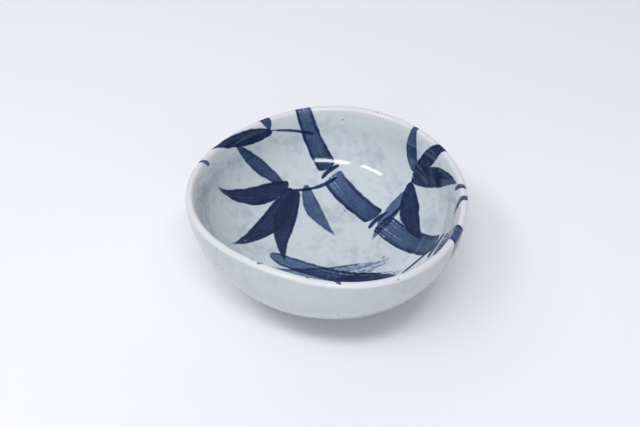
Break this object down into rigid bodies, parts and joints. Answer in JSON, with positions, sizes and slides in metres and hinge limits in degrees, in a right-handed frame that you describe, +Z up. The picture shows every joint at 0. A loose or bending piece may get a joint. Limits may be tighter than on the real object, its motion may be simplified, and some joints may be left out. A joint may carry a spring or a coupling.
{
  "type": "painted bowl",
  "caption": "Shallow hand-shaped porcelain bowl with a softly three-sided round lip, blue brushwork under a clear pale glaze, and a low turned foot ring.",
  "frame": {"origin": "middle of the foot at the level of its standing edge, which is the bottom centre of the bowl's box", "axes": "+Z up out of the bowl, +X along the bowl's widest way, -Y towards the side that the picture shows nearest"},
  "size_m": [0.145, 0.141, 0.0558],
  "materials": {
    "bare_clay": "unglazed fired porcelain, matt and slightly warm, wiped smooth on the standing edge",
    "painted_glaze": "clear glossy glaze with a faint blue-green cast over white clay, with cobalt blue brushwork under it",
    "clear_glaze": "clear glossy glaze with a faint blue-green cast over white clay, unpainted"
  },
  "bodies": {
    "root": {"clay_body": "bare_clay", "foot_ring": "bare_clay", "glaze_coat": "painted_glaze", "foot_glaze": "clear_glaze"}
  },
  "joints": []
}
